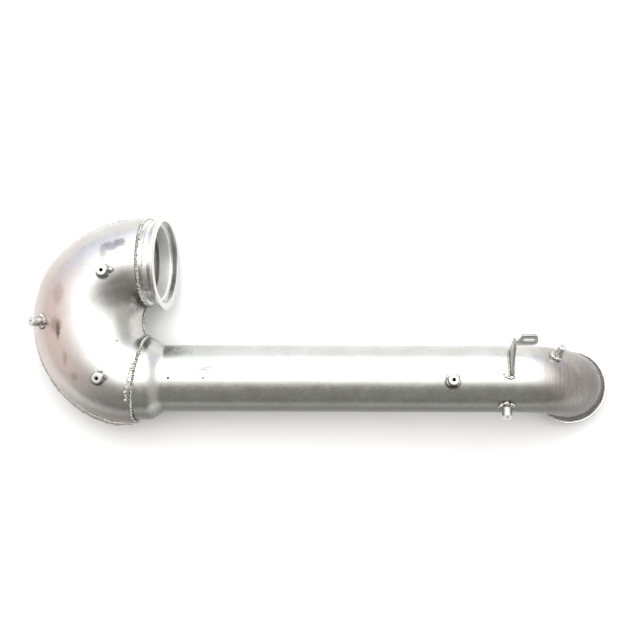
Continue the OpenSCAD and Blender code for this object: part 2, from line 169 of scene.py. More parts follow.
def stained(tree, base, colour, mask, share=1.0):
    """The base colour, stained with another one where a mask says, by a share at most."""
    amount = add(tree, "ShaderNodeMath", {0: mask, 1: share}, operation="MULTIPLY")
    return add(tree, "ShaderNodeMix", {"Factor": amount, "A": base, "B": colour}, data_type="RGBA")


def steel(name, colour, dark, roughness, grain, grain_depth):
    """Satin steel: cloudy colour, uneven shine, and a fine grain stretched as the piece was worked."""
    # Real scratches are finer, by guess 0.2 mm wide; they are drawn this coarse so that they show
    cloud, blotch, scratch = 38, 9, 1.3
    duller, shinier, scratch_shine, scratch_strength = 0.04, 0.03, 0.015, 0.35
    made = bpy.data.materials.new(name)
    made.use_nodes = True
    tree = made.node_tree
    tree.nodes.clear()
    place = in_mm(tree)
    clouds = add(tree, "ShaderNodeTexNoise", {
        "Vector": place, "Scale": 1 / cloud, "Detail": 4.0, "Roughness": 0.6, "Distortion": 0.4})
    clouds = add(tree, "ShaderNodeMapRange", {0: clouds, 1: 0.3, 2: 0.72}, interpolation_type="SMOOTHSTEP")
    base = stained(tree, linear(colour), linear(dark), clouds)
    fine = add(tree, "ShaderNodeTexNoise", {
        "Vector": in_mm(tree, grain), "Scale": 1 / scratch, "Detail": 4.0, "Roughness": 0.6})
    blotches = add(tree, "ShaderNodeTexNoise", {
        "Vector": place, "Scale": 1 / blotch, "Detail": 3.0, "Roughness": 0.6})
    blotches = add(tree, "ShaderNodeMapRange", {
        0: blotches, 1: 0.35, 2: 0.75, 3: roughness - shinier, 4: roughness + duller},
        interpolation_type="SMOOTHSTEP")
    scratches = add(tree, "ShaderNodeMapRange", {
        0: fine, 1: 0.3, 2: 0.7, 3: -scratch_shine, 4: scratch_shine}, interpolation_type="SMOOTHSTEP")
    shine = add(tree, "ShaderNodeMath", {0: blotches, 1: scratches}, operation="ADD")
    bump = add(tree, "ShaderNodeBump", {
        "Strength": scratch_strength, "Distance": grain_depth * MM, "Height": fine})
    shader = add(tree, "ShaderNodeBsdfPrincipled", {
        "Base Color": base, "Metallic": 1.0, "Roughness": shine, "Normal": bump})
    add(tree, "ShaderNodeOutputMaterial", {"Surface": shader})
    return SimpleNamespace(material=made, tree=tree, shader=shader, base=base, shine=shine, bump=bump)


def shaded_side(tree):
    """Mask of the flank towards -Y, darkened to match the photograph, as the lamps alone fall short."""
    normal = add(tree, "ShaderNodeNewGeometry").outputs["Normal"]
    facing = add(tree, "ShaderNodeVectorMath", {0: normal, 1: (0.0, -1.0, -0.15)}, operation="DOT_PRODUCT")
    return add(tree, "ShaderNodeMapRange", {0: facing, 1: 0.3, 2: 0.85}, interpolation_type="SMOOTHSTEP")


def mesh_piece(name, points, faces, material, node, sharp=35, run=None):
    """A smooth-shaded mesh object from points in the part's own millimetres."""
    mesh = bpy.data.meshes.new(name)
    mesh.from_pydata(laid(points).tolist(), [], faces)
    mesh.validate()
    if run is not None:
        field = mesh.attributes.new("run", "FLOAT", "POINT")
        field.data.foreach_set("value", np.asarray(run, np.float32))
    mesh.materials.append(material)
    mesh.shade_smooth()
    mesh.set_sharp_from_angle(angle=math.radians(sharp))
    made = bpy.data.objects.new(name, mesh)
    bpy.context.scene.collection.objects.link(made)
    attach(made, "root")
    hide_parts(node)
    return made


def quads(rows, cols, wrap_rows, wrap_cols, flip=False):
    """Faces of a grid of points, closed round its rows or columns where asked."""
    faces = []
    for r in range(rows if wrap_rows else rows - 1):
        for c in range(cols if wrap_cols else cols - 1):
            s, d = (r + 1) % rows, (c + 1) % cols
            face = (r * cols + c, r * cols + d, s * cols + d, s * cols + c)
            faces.append(face[::-1] if flip else face)
    return faces


# Deep-drawn steel: a soft even satin, with grey marks as stains. The warm cast round the back is
# painted reflection, the dark crescents by two bosses are painted shadows, and the flank towards -Y
# is darkened as painted shade. The inside is painted pale as painted light, and made duller.
look = steel("shell_steel", "C3C2C0", "B9B7B3", 0.3, (1, 1, 1), 0.015)
shell_steel, tree, base = look.material, look.tree, look.base
# Painted reflection: a warm cast over the back of the bend.
WARM_REFLECTION_FROM, WARM_REFLECTION_TO = -330, -440
lengthwise = add(tree, "ShaderNodeSeparateXYZ", {0: in_mm(tree)})
painted_warm_reflection = add(tree, "ShaderNodeMapRange", {0: lengthwise, 1: WARM_REFLECTION_FROM, 2: WARM_REFLECTION_TO},
           interpolation_type="SMOOTHSTEP")
base = stained(tree, base, linear("BBA9A3"), painted_warm_reflection, 0.6)
# Each grey mark: turn of the bend, turn of its section, reach in mm, colour, share
for f, q, reach, colour, share in (
        (161, 115, (20, 10, 40), "77757B", 0.8),
        (168, 117, (15, 8, 40), "6C6A70", 0.8),
        (155, 110, (8, 11, 40), "8C8986", 0.7),
        (84, 113, (5, 19, 25), "5B504A", 0.9),
        (88, 115, (13, 17, 25), "7E6F68", 0.55),
        (110, 116, (13, 25, 30), "958B87", 0.45),
        (62, 115, (5, 18, 30), "94887F", 0.5),
        (47, 118, (10, 9, 30), "988B83", 0.5),
        (55, 55, (3.2, 2.2, 6), "6A665F", 0.8),
        (60, 70, (2.6, 1.6, 6), "8A867F", 0.7)):
    base = stained(tree, base, linear(colour), patch(tree, bend_point(f, q), reach, 1.1, 0.7), share)
BOSS_BY_INLET, BOSS_BY_BELL, BOSS_ON_BACK = (149, 90), (32, 96), (90, 137)
# Painted shadows: dark crescents beside two bosses.
for boss, shift in ((BOSS_BY_INLET, (-2.5, -4, 0)), (BOSS_BY_BELL, (-3, -4, 0))):
    painted_boss_shadow = patch(tree, bend_point(*boss) + np.array(shift), (12.5, 12, 20), 0.25, 0.35)
    base = stained(tree, base, linear("2E2C28"), painted_boss_shadow, 0.9)
# Painted shade: the flank towards -Y darkened by which way it faces.
base = stained(tree, base, linear("5C5752"), shaded_side(tree), 0.95)
# Painted light: the inside made pale; it is also made duller.
within = add(tree, "ShaderNodeAttribute", attribute_name="run").outputs["Fac"]
base = stained(tree, base, linear("F2F2F0"), within)
INSIDE_DULLER = 0.34
duller = add(tree, "ShaderNodeMath", {0: within, 1: INSIDE_DULLER}, operation="MULTIPLY")
duller = add(tree, "ShaderNodeMath", {0: look.shine, 1: duller}, operation="ADD")
feed(tree, look.shader, {"Base Color": base, "Roughness": duller})

HALF_TURN = 180
for name, low in (("bend_upper_shell", 0), ("bend_lower_shell", HALF_TURN)):
    turns = np.linspace(0, BEND_END, 145)
    steps = np.linspace(low, low + HALF_TURN, 81)
    rows, cols = len(turns), len(steps)
    outside = [bend_point(f, q) for f in turns for q in steps]
    inside = [bend_point(f, q, BEND_WALL) for f in turns for q in steps]
    count = rows * cols
    faces = quads(rows, cols, False, False)
    faces += [tuple(i + count for i in face[::-1]) for face in faces]
    for r in range(rows - 1):
        a, b = r * cols, (r + 1) * cols
        faces.append((a, b, b + count, a + count))
        a, b = a + cols - 1, b + cols - 1
        faces.append((b, a, a + count, b + count))
    for c in range(cols - 1):
        a, b = c, c + 1
        faces.append((b, a, a + count, b + count))
        a, b = (rows - 1) * cols + c, (rows - 1) * cols + c + 1
        faces.append((a, b, b + count, a + count))
    mesh_piece(name + "_pressed", outside + inside, faces, shell_steel, name,
               run=np.repeat([0, 1], count))

# The main tube: drawn four inch steel tube, expanded into a bell at one end, bent to an elbow
# on a mandrel and flared at the other end for the outlet ring.
PIPE_R, PIPE_WALL, PIPE_RUN = 50.8, 1.8, 577.0
BELL_LAP, BELL_RUN, BELL_TAPER = 10, 22, 28
ELBOW_R, ELBOW_TURN, ELBOW_ROLL = 96.0, math.radians(74), math.radians(12)
FLARE_R, FLARE_LEAD, FLARE_EASE, FLARE_END = 54, 1, 10, 16
BOSS_ON_CROWN, BOSS_ON_SIDE, BOSS_ON_ELBOW = (484, -2), (564, 52), (50, 28)


def along_pipe(s):
    """Place, direction and two cross directions at a length s past the bell's front edge."""
    bent = ELBOW_R * ELBOW_TURN
    turn = min(max(s - PIPE_RUN, 0), bent) / ELBOW_R
    rest = max(s - PIPE_RUN - bent, 0)
    x = min(s, PIPE_RUN) + ELBOW_R * math.sin(turn) + rest * math.cos(turn)
    drop = ELBOW_R * (1 - math.cos(turn)) + rest * math.sin(turn)
    down = np.array([0, -math.sin(ELBOW_ROLL), -math.cos(ELBOW_ROLL)])
    ahead = math.cos(turn) * np.array([1.0, 0, 0]) + math.sin(turn) * down
    up = math.sin(turn) * np.array([1.0, 0, 0]) - math.cos(turn) * down
    return np.array([x, 0, 0]) + drop * down, ahead, up, np.cross(ahead, up)


def pipe_radius(s):
    """Outside radius of the tube, with its bell and its flare."""
    bell = 1 - ease((s - BELL_RUN) / BELL_TAPER)
    flare = ease((s - bent_end + FLARE_LEAD) / FLARE_EASE)
    return PIPE_R + (BELL_R - PIPE_R) * bell + (FLARE_R - PIPE_R) * flare


def on_tube(x, angle):
    """A place on the straight tube, at an angle from its crown towards -Y, and the way out there."""
    a = math.radians(angle)
    out = np.array([0, -math.sin(a), math.cos(a)])
    return np.array([x, 0, 0]) + out * PIPE_R, out


# Drawn tube: long faint lines, darker streaks behind the bell and a few pits. Dark crescents by
# two bosses are painted shadows, and the flank towards -Y is darkened as painted shade. The elbow
# is brushed across and darkened towards its end with painted shade.
look = steel("tube_steel", "C4C5C1", "B9B9B3", 0.3, (14, 1, 1), 0.012)
tube_steel, tree, base = look.material, look.tree, look.base
# The lines are drawn coarser than the real ones, by guess 0.2 mm apart, so that they show
DIE_LINE, BRUSH_LINE, CHATTER = 0.9, 1.1, 13
die_lines = add(tree, "ShaderNodeTexNoise", {
    "Vector": in_mm(tree, (60, 1, 1)), "Scale": 1 / DIE_LINE, "Detail": 3.0, "Roughness": 0.6})
faint = add(tree, "ShaderNodeMapRange", {0: die_lines, 1: 0.52, 2: 0.8}, interpolation_type="SMOOTHSTEP")
base = stained(tree, base, linear("A9A8A0"), faint, 0.25)
strong = add(tree, "ShaderNodeMapRange", {0: die_lines, 1: 0.42, 2: 0.56}, interpolation_type="SMOOTHSTEP")
drag = patch(tree, (120, 14, PIPE_R), (52, 20, 40), 0.5)
drag = add(tree, "ShaderNodeMath", {0: drag, 1: strong}, operation="MULTIPLY")
base = stained(tree, base, linear("5F646B"), drag, 0.95)
lengthwise = add(tree, "ShaderNodeSeparateXYZ", {0: in_mm(tree)})
brushed = add(tree, "ShaderNodeTexNoise", {
    "Vector": in_mm(tree, (1, 30, 8)), "Scale": 1 / BRUSH_LINE, "Detail": 3.0, "Roughness": 0.6})
# Each stretch of the elbow, brushed and darkened as painted shade: two colours, the brushing's
# range, where it starts and is full, share
for pale, dark, low, high, start, full, share in (
        ("ABA6A1", "938E89", 0.35, 0.65, 300, 350, 1.0),
        ("605C58", "494542", 0.4, 0.6, 365, 425, 0.9)):
    lines = add(tree, "ShaderNodeMapRange", {0: brushed, 1: low, 2: high}, interpolation_type="SMOOTHSTEP")
    brushed_and_painted_shade = stained(tree, linear(pale), linear(dark), lines)
    reached = add(tree, "ShaderNodeMapRange", {0: lengthwise, 1: start, 2: full},
                  interpolation_type="SMOOTHSTEP")
    base = stained(tree, base, brushed_and_painted_shade, reached, share)
# Painted shade: the flank towards -Y darkened by which way it faces.
base = stained(tree, base, linear("53544F"), shaded_side(tree), 0.95)
for x, angle, size, share in ((20.5, 2.4, 2.4, 0.8), (59, -3.6, 2.9, 0.95), (111.5, -3.6, 2.4, 0.8)):
    pit = patch(tree, on_tube(x, angle)[0], (size, size, 2 * size), 0.15, 0.5)
    base = stained(tree, base, linear("242320"), pit, share)
# Painted shadows: dark crescents beside two bosses.
for boss, shift in ((BOSS_ON_CROWN, (-1, -4.5, 0)), (BOSS_ON_SIDE, (0, 2, 0))):
    painted_boss_shadow = patch(tree, on_tube(*boss)[0] + np.array(shift), (14, 12, 20), 0.25, 0.35)
    base = stained(tree, base, linear("2E2D29"), painted_boss_shadow, 0.9)
waves = add(tree, "ShaderNodeTexNoise", {
    "Vector": in_mm(tree, (1, 5, 5)), "Scale": 1 / CHATTER, "Detail": 1.0, "Roughness": 0.5})
chatter = add(tree, "ShaderNodeBump", {
    "Strength": 0.5, "Distance": 0.4 * MM, "Height": waves, "Normal": look.bump})
feed(tree, look.shader, {"Base Color": base, "Normal": chatter})

bent_end = PIPE_RUN + ELBOW_R * ELBOW_TURN
marks = [-BELL_LAP, 0.5 - BELL_LAP, 0, 10, 18]
marks += list(np.linspace(BELL_RUN - 2, BELL_RUN + BELL_TAPER + 2, 33))
marks += list(np.arange(60, PIPE_RUN, 8.0))
marks += list(np.linspace(PIPE_RUN, bent_end, 64))
marks += list(np.linspace(bent_end + 0.5, bent_end + FLARE_END, 24))
marks = sorted(set(np.round(marks, 4)))
sides = 128
turns = np.linspace(0, 2 * math.pi, sides, endpoint=False)
outside, inside = [], []
for s in marks:
    place, ahead, up, side = along_pipe(s)
    ring = np.outer(np.cos(turns), up) + np.outer(np.sin(turns), side)
    outside.append(place + ring * pipe_radius(s))
    inside.append(place + ring * (pipe_radius(s) - PIPE_WALL))
points = np.vstack(outside + inside[::-1])
mesh_piece("main_pipe_drawn", points, quads(2 * len(marks), sides, True, True), tube_steel,
           "main_pipe")

# The inlet ring: turned from one piece of bar, with a spigot inside the bend, a collar with a
# shallow neck, a rim with a sloped back for a band clamp, and a recess for the mating pipe.
RING_BORE, SPIGOT_R, NECK_R, RIM_R, RECESS_R = 56, 65, 62, 72.8, 61.3
SPIGOT_END, RECESS_FLOOR, RIM_FACE, CHAMFER = -4, 19, 29, 1


def rounded(profile, radius, steps=4):
    """A closed outline with each corner rounded, as far as its sides allow."""
    out = []
    n = len(profile)
    radii = radius if isinstance(radius, (list, tuple)) else [radius] * n
    for i, (p, r) in enumerate(zip(profile, radii)):
        p = np.array(p, float)
        a, b = np.array(profile[i - 1], float) - p, np.array(profile[(i + 1) % n], float) - p
        la, lb = np.linalg.norm(a), np.linalg.norm(b)
        a, b = a / la, b / lb
        turn = math.acos(max(-1, min(1, float(a @ b))))
        if r <= 0 or turn > math.radians(178):
            out.append(p)
            continue
        cut = min(r / math.tan(turn / 2), 0.45 * la, 0.45 * lb)
        r = cut * math.tan(turn / 2)
        middle = (a + b) / np.linalg.norm(a + b)
        centre = p + middle * (r / math.sin(turn / 2))
        start, end = p + a * cut - centre, p + b * cut - centre
        sweep = math.acos(max(-1, min(1, float(start @ end) / (r * r))))
        for k in range(steps + 1):
            t = k / steps
            w = (math.sin((1 - t) * sweep) * start + math.sin(t * sweep) * end) / math.sin(sweep)
            out.append(centre + w)
    return np.array(out)


def spread(profile, longest):
    """The outline with its long sides divided, and its length along each point."""
    out, run, gone = [], [], 0.0
    for i, p in enumerate(profile):
        q = profile[(i + 1) % len(profile)]
        side = float(np.linalg.norm(q - p))
        parts = max(1, math.ceil(side / longest))
        for k in range(parts):
            out.append(p + (q - p) * k / parts)
            run.append(gone + side * k / parts)
        gone += side
    return np.array(out), np.array(run)


def turned(name, profile, centre, axis, material, radius, node, sides=256, longest=6):
    """A turned piece: a closed outline of (radius, height) about an axis through centre."""
    shape, run = spread(rounded(profile, radius), longest)
    axis = Vector(axis).normalized()
    across = axis.orthogonal().normalized()
    other = axis.cross(across)
    turns = np.linspace(0, 2 * math.pi, sides, endpoint=False)
    ring = np.outer(np.cos(turns), across) + np.outer(np.sin(turns), other)
    points = (np.array(centre) + shape[None, :, 1:2] * np.array(axis)
              + shape[None, :, 0:1] * ring[:, None, :]).reshape(-1, 3)
    area = np.sum(shape[:, 0] * np.roll(shape[:, 1], -1) - shape[:, 1] * np.roll(shape[:, 0], -1))
    faces = quads(sides, len(shape), True, True, flip=area > 0)
    return mesh_piece(name, points, faces, material, node, run=np.tile(run, sides))


# Turned steel, as the tool left it: brighter than the tube, with fine lathe lines round it that
# follow the outline's length. The bore is painted paler as painted light, and made rougher; the
# outlet ring is a little greyer.
look = steel("ring_steel", "D6D6D4", "CFCFCC", 0.24, (1, 1, 1), 0.004)
ring_steel, tree, base = look.material, look.tree, look.base
CUTS_PER_MM, BORE_FROM, BORE_TO, OUTLET_FROM, OUTLET_TO = 3.2, 70, 74, 200, 300
run = add(tree, "ShaderNodeAttribute", attribute_name="run").outputs["Fac"]
cuts = add(tree, "ShaderNodeMath", {0: run, 1: CUTS_PER_MM}, operation="MULTIPLY")
cuts = add(tree, "ShaderNodeTexNoise", {"W": cuts, "Scale": 1.0, "Detail": 2.0}, noise_dimensions="1D")
lathe = add(tree, "ShaderNodeBump", {
    "Strength": 0.5, "Distance": 0.02 * MM, "Height": cuts, "Normal": look.bump})
# Painted light: the bore made paler; it is also made rougher.
bored = add(tree, "ShaderNodeMapRange", {0: run, 1: BORE_FROM, 2: BORE_TO}, interpolation_type="SMOOTHSTEP")
base = stained(tree, base, linear("F2F2F0"), bored)
lengthwise = add(tree, "ShaderNodeSeparateXYZ", {0: in_mm(tree)})
at_outlet = add(tree, "ShaderNodeMapRange", {0: lengthwise, 1: OUTLET_FROM, 2: OUTLET_TO},
                interpolation_type="SMOOTHSTEP")
base = stained(tree, base, linear("CDCCC9"), at_outlet)
duller = add(tree, "ShaderNodeMath", {0: bored, 1: INSIDE_DULLER}, operation="MULTIPLY")
duller = add(tree, "ShaderNodeMath", {0: look.shine, 1: duller}, operation="ADD")
feed(tree, look.shader, {"Base Color": base, "Roughness": duller, "Normal": lathe})

tilt = math.radians(INLET_TILT)
inlet_mid = (bend_point(BEND_END, 0) + bend_point(BEND_END, HALF_TURN)) / 2
inlet_axis = (math.cos(tilt), 0, math.sin(tilt))
turned("inlet_ring_turned", [
    (RING_BORE, SPIGOT_END), (SPIGOT_R, SPIGOT_END), (SPIGOT_R, 5), (60.8, 8), (NECK_R, 11), (NECK_R, 16.5),
    (68.8, 24.5), (RIM_R, 25.5), (RIM_R, RIM_FACE - CHAMFER), (RIM_R - CHAMFER, RIM_FACE),
    (RECESS_R + CHAMFER, RIM_FACE), (RECESS_R, RIM_FACE - CHAMFER), (RECESS_R, RECESS_FLOOR),
    (RING_BORE + CHAMFER, RECESS_FLOOR), (RING_BORE, RECESS_FLOOR - CHAMFER)],
    inlet_mid, inlet_axis, ring_steel, 0.6, "inlet_ring")

# The outlet ring: turned steel, pushed over the flared end of the tube up to its own lip, and
# welded on from behind.
OUTLET_R, OUTLET_FIT, OUTLET_LIP, EASED = 57.75, 54.25, 51, 0.75
OUTLET_BACK, LIP_BACK, OUTLET_FRONT = 9.5, 16.5, 18.5
out_place, out_axis, out_up, out_side = along_pipe(bent_end)
turned("outlet_ring_turned", [
    (OUTLET_FIT, OUTLET_BACK), (OUTLET_R - EASED, OUTLET_BACK), (OUTLET_R, OUTLET_BACK + EASED),
    (OUTLET_R, OUTLET_FRONT - EASED), (OUTLET_R - EASED, OUTLET_FRONT), (OUTLET_LIP, OUTLET_FRONT),
    (OUTLET_LIP, LIP_BACK), (OUTLET_FIT, LIP_BACK)],
    out_place, out_axis, ring_steel, 0.4, "outlet_ring")

# The ring welds: bare steel beads from a wire welder, each a row of drops that froze over one
# another. One is round the inlet's collar, one on the bell along the slanted edge of the bend,
# and a small one behind the outlet ring.
INLET_DROPS, BELL_DROPS, SPATTER_DROPS, OUTLET_DROPS = 150, 150, 46, 120

# Weld metal, not brushed: pale, rough and bumpy, with brown burnt flecks between the drops.
look = steel("weld_steel", "C0BEB9", "A8A6A0", 0.36, (1, 1, 1), 0.04)
weld_steel, tree, base = look.material, look.tree, look.base
FLECK = 3.0
burnt = add(tree, "ShaderNodeTexNoise", {
    "Vector": in_mm(tree), "Scale": 1 / FLECK, "Detail": 4.0, "Roughness": 0.7})
burnt = add(tree, "ShaderNodeMapRange", {0: burnt, 1: 0.55, 2: 0.75}, interpolation_type="SMOOTHSTEP")
base = stained(tree, base, linear("6F6A62"), burnt, 0.55)
# Painted shade: the flank towards -Y darkened by which way it faces.
base = stained(tree, base, linear("8A857F"), shaded_side(tree), 0.9)
feed(tree, look.shader, {"Base Color": base})

drops = bpy.data.node_groups.new("weld_drops", "GeometryNodeTree")
for name, kind, value in (
        ("Geometry", "NodeSocketGeometry", None), ("Uneven size", "NodeSocketFloat", 0.25),
        ("Ripple depth", "NodeSocketFloat", 0.3 * MM), ("Ripple size", "NodeSocketFloat", 2 * MM),
        ("Seed", "NodeSocketInt", 1), ("Material", "NodeSocketMaterial", weld_steel)):
    socket = drops.interface.new_socket(name, in_out="INPUT", socket_type=kind)
    if value is not None:
        socket.default_value = value
drops.interface.new_socket("Geometry", in_out="OUTPUT", socket_type="NodeSocketGeometry")
given = add(drops, "NodeGroupInput").outputs
outward, along, size = [
    add(drops, "GeometryNodeInputNamedAttribute", {"Name": name}, data_type="FLOAT_VECTOR")
    for name in ("outward", "along", "size")]
turn = add(drops, "FunctionNodeAlignRotationToVector", {"Vector": outward}, axis="Z")
turn = add(drops, "FunctionNodeAlignRotationToVector", {"Rotation": turn, "Vector": along},
           axis="X", pivot_axis="Z")
low = add(drops, "ShaderNodeMath", {0: 1.0, 1: given["Uneven size"]}, operation="SUBTRACT")
high = add(drops, "ShaderNodeMath", {0: 1.0, 1: given["Uneven size"]}, operation="ADD")
uneven = add(drops, "FunctionNodeRandomValue", {"Min": low, "Max": high, "Seed": given["Seed"]},
             data_type="FLOAT_VECTOR")
scale = add(drops, "ShaderNodeVectorMath", {0: size, 1: uneven}, operation="MULTIPLY")
ball = add(drops, "GeometryNodeMeshIcoSphere", {"Radius": 1.0, "Subdivisions": 3})
beads = add(drops, "GeometryNodeInstanceOnPoints", {
    "Points": given["Geometry"], "Instance": ball, "Rotation": turn, "Scale": scale})
solid = add(drops, "GeometryNodeRealizeInstances", {"Geometry": beads})
place = add(drops, "GeometryNodeInputPosition")
cells = add(drops, "ShaderNodeMath", {0: 1.0, 1: given["Ripple size"]}, operation="DIVIDE")
wave = add(drops, "ShaderNodeTexNoise", {"Vector": place, "Scale": cells, "Detail": 2.0})
wave = add(drops, "ShaderNodeMath", {0: wave, 1: 0.5}, operation="SUBTRACT")
wave = add(drops, "ShaderNodeMath", {0: wave, 1: given["Ripple depth"]}, operation="MULTIPLY")
normal = add(drops, "GeometryNodeInputNormal")
shift = add(drops, "ShaderNodeVectorMath", {0: normal, "Scale": wave}, operation="SCALE")
solid = add(drops, "GeometryNodeSetPosition", {"Geometry": solid, "Offset": shift})
solid = add(drops, "GeometryNodeSetMaterial", {"Geometry": solid, "Material": given["Material"]})
add(drops, "NodeGroupOutput", {"Geometry": solid})


def weld(name, rows, node, seed, uneven=0.25, ripple=0.5):
    """Drops of weld at rows of (place, outward, along, size), each size half its length, width and height."""
    mesh = bpy.data.meshes.new(name)
    mesh.from_pydata(laid([r[0] for r in rows]).tolist(), [], [])
    turned_by = np.array(LAY)[:3, :3] / MM
    for field, values in (("outward", [turned_by @ np.asarray(r[1], float) for r in rows]),
                          ("along", [turned_by @ np.asarray(r[2], float) for r in rows]),
                          ("size", [np.asarray(r[3], float) * MM for r in rows])):
        made = mesh.attributes.new(field, "FLOAT_VECTOR", "POINT")
        made.data.foreach_set("vector", np.array(values, np.float32).ravel())
    path = bpy.data.objects.new(name, mesh)
    bpy.context.scene.collection.objects.link(path)
    grow = path.modifiers.new("weld_drops", "NODES")
    grow.node_group = drops
    chosen = {"Seed": seed, "Uneven size": uneven, "Ripple depth": ripple * MM}
    for item in drops.interface.items_tree:
        if item.in_out == "INPUT" and item.name in chosen:
            grow[item.identifier] = chosen[item.name]
    baked = bpy.data.meshes.new_from_object(path.evaluated_get(bpy.context.evaluated_depsgraph_get()))
    path.modifiers.clear()
    path.data = baked
    baked.shade_smooth()
    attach(path, "root")
    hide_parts(node)


def around(k, count, first, second):
    """The way out and the way along at drop k of count, round a ring between two cross directions."""
    a = 2 * math.pi * k / count
    out = math.cos(a) * first + math.sin(a) * second
    return out, math.cos(a) * second - math.sin(a) * first


chance = np.random.default_rng(7)
inlet_ahead = np.array(inlet_axis)
inlet_side = np.array([0, 1.0, 0])
inlet_down = np.cross(inlet_ahead, inlet_side)
rows = []
for k in range(INLET_DROPS):
    out, along = around(k, INLET_DROPS, inlet_side, inlet_down)
    wander = chance.normal(0, 0.6)
    place = inlet_mid + inlet_ahead * (2.4 + wander) + out * (BEND_R - 1.6)
    rows.append((place, out + 0.35 * inlet_ahead, along, (1.5, 2.3 + chance.uniform(-0.5, 0.6), 2.3)))
weld("inlet_weld_bead", rows, "inlet_weld", 3)

rows = []
for k in range(BELL_DROPS):
    edge = bend_point(0, 360 * k / BELL_DROPS)
    step = np.linalg.norm(edge[1:]) - BELL_R
    out = np.array([0, edge[1], edge[2]])
    out /= np.linalg.norm(out)
    place = np.array([edge[0] + 1.6 + chance.normal(0, 0.5), 0, 0]) + out * (BELL_R + 0.35 * step)
    size = (1.7, 1.9 + chance.uniform(-0.5, 0.5), 0.66 * step)
    rows.append((place, out + np.array([0.4, 0, 0]), np.cross([1, 0, 0], out), size))
SPATTER_FROM, SPATTER_SPAN, SPATTER_BACK = 66, 52, 3.0
for k in range(SPATTER_DROPS):
    q = SPATTER_FROM + SPATTER_SPAN * k / SPATTER_DROPS
    f = SPATTER_BACK + chance.normal(0, 0.8)
    out = bend_normal(f, q)
    size = 0.9 + 1.5 * chance.uniform(0, 1) ** 2
    place = bend_point(f, q) - out * 0.3
    rows.append((place, out, np.cross([1, 0, 0], out), (size, size * 1.1, size * 0.8)))
weld("bell_weld_bead", rows, "bell_weld", 5)

OUTLET_BEAD_R, OUTLET_BEAD_AT = 54.6, 8.6
rows = []
for k in range(OUTLET_DROPS):
    out, along = around(k, OUTLET_DROPS, out_up, out_side)
    place = out_place + out_axis * OUTLET_BEAD_AT + out * OUTLET_BEAD_R
    rows.append((place, out - out_axis, along, (1.8, 1.2, 1.1)))
weld("outlet_weld_bead", rows, "outlet_weld", 9)

# The seam welds: a tall bead over the meeting edges of the half shells along the back of the
# bend, highest by the bell, and a short ragged one at the crotch between the legs.
SEAM_LOW, SEAM_TALL, SEAM_TALL_TO, SEAM_FADE = 3, 5, 110, 12
for name, q, first, last, count, tall in (
        ("outer_seam_weld", 180, 2, 175, 170, 1), ("inner_seam_weld", 0, 20, 160, 26, 0)):
    rows = []
    for k in range(count):
        f = first + (last - first) * (k + 0.5) / count
        end = 0.4 + 0.6 * ease(min(f - first, last - f) / SEAM_FADE)
        high = (SEAM_LOW + SEAM_TALL * tall * (1 - ease(f / SEAM_TALL_TO))) * end
        out = bend_normal(f, q)
        along = bend_point(f + 1, q) - bend_point(f - 1, q)
        along /= np.linalg.norm(along)
        place = bend_point(f, q) + out * 0.35 * high + chance.normal(0, 0.2, 3)
        rows.append((place, out, along, (2.6, (2.9 + chance.uniform(-0.5, 0.4)) * end, 0.62 * high)))
    weld(name + "_bead", rows, name, 11 + count, 0.15)

# The screw bosses: spacers turned from bar with a threaded blind hole for a heat shield, each
# tacked on by hand with a few lumps of weld over a thin ring of it.
BOSS_R, BOSS_TALL, BOSS_BASE = 7.5, 19, 0.1
HOLE_R, HOLE_MOUTH_R, HOLE_DEEP, HOLE_LEVELS = 2.5, 2.9, 15.0, 121
THREAD_PITCH, THREAD_DEEP, THREAD_LEAD, THREAD_END, THREAD_FADE = 1.0, 0.45, 1.2, 4.6, 1.5
MOUTH_DEEP, DARK_FROM, DARK_OVER = 0.8, 1.5, 3
BOSS_SIDES, COLLAR_DROPS, COLLAR_R, LUMP_TURN = 64, 24, 7.7, 16

# Turned steel like the rings, a little rougher. The holes are darkened with their depth: painted
# shade in them.
look = steel("boss_steel", "D4D4D2", "C8C7C4", 0.3, (1, 1, 1), 0.02)
boss_steel = look.material
deep = add(look.tree, "ShaderNodeAttribute", attribute_name="run").outputs["Fac"]
feed(look.tree, look.shader, {"Base Color": stained(look.tree, look.base, linear("1A1917"), deep)})


def on_elbow(angle, turn):
    """A place on the elbow, at an angle from its crown towards -Y, and the way out there."""
    place, ahead, up, side = along_pipe(PIPE_RUN + ELBOW_R * math.radians(turn))
    a = math.radians(angle) - ELBOW_ROLL
    out = math.cos(a) * up - math.sin(a) * side
    return place + out * PIPE_R, out


def thread_radius(h, t):
    """Radius of the hole at a height and a turn: the thread fades at both ends, and the mouth is eased."""
    below = BOSS_TALL - h
    cut = ease(below / THREAD_LEAD) * ease((h - THREAD_END) / THREAD_FADE)
    ridge = abs(2 * ((h / THREAD_PITCH - t / (2 * math.pi)) % 1) - 1)
    mouth = (HOLE_MOUTH_R - HOLE_R) * (1 - ease(below / MOUTH_DEEP))
    return HOLE_R + THREAD_DEEP * cut * ridge + mouth


